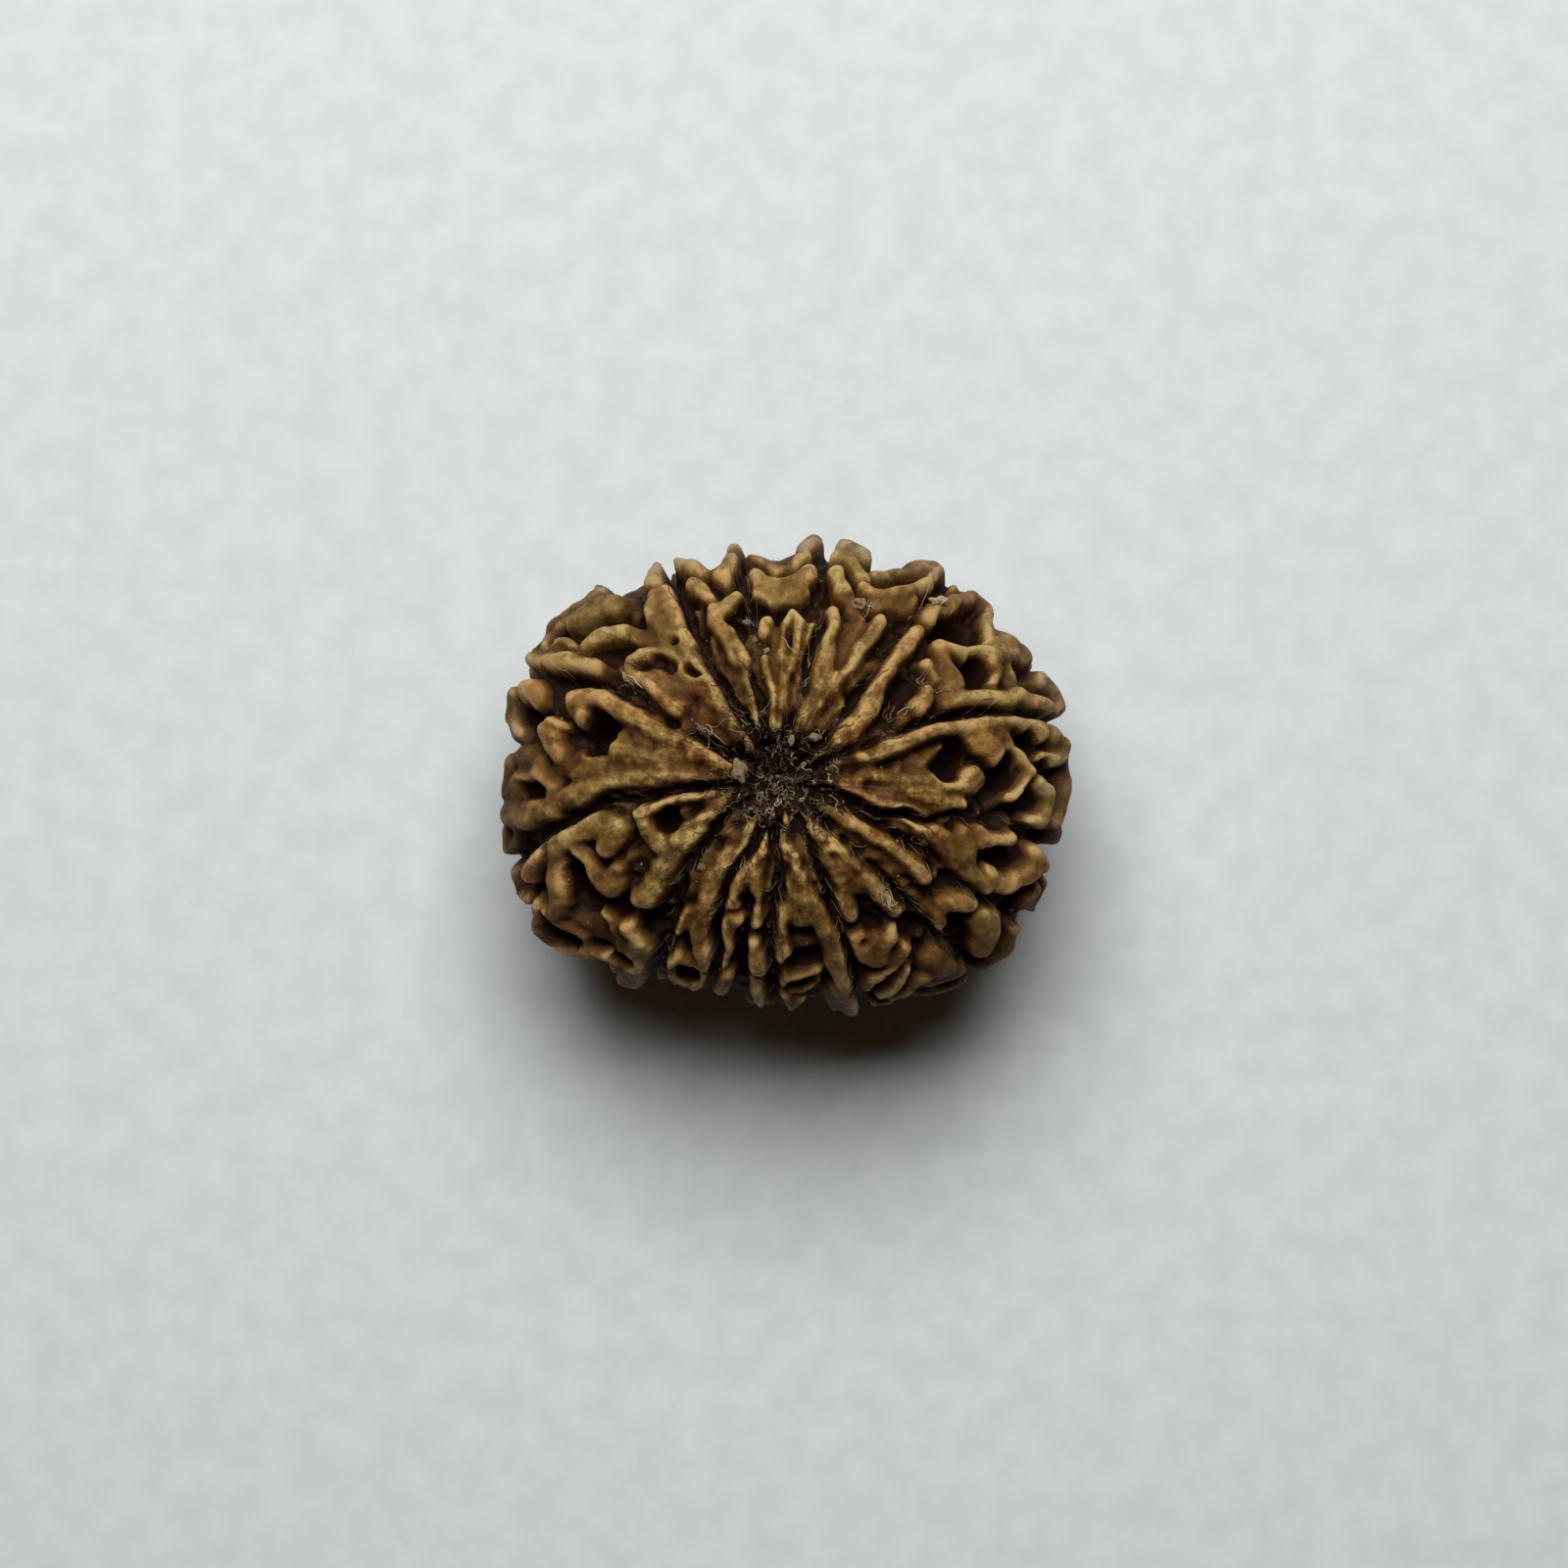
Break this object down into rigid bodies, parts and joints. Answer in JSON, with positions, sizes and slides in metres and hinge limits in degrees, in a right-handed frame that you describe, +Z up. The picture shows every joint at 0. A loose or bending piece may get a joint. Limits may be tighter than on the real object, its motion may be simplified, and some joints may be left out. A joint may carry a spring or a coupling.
{
  "type": "rudraksha seed",
  "caption": "Oblate woody fruit stone with deep grooves from pole to pole, worm-like ridges and knobs all over and a sunken pit at each pole.",
  "frame": {"origin": "middle of the footprint of the bounding box, on the plane that the stone rests on", "axes": "+X along the stone's longest extent, +Z up through the pole with the pit"},
  "size_m": [0.03, 0.0252, 0.02],
  "materials": {
    "seed_shell": "semi-matt, worn smooth on the ridge tops"
  },
  "bodies": {
    "root": {"seed": "seed_shell"}
  },
  "joints": []
}
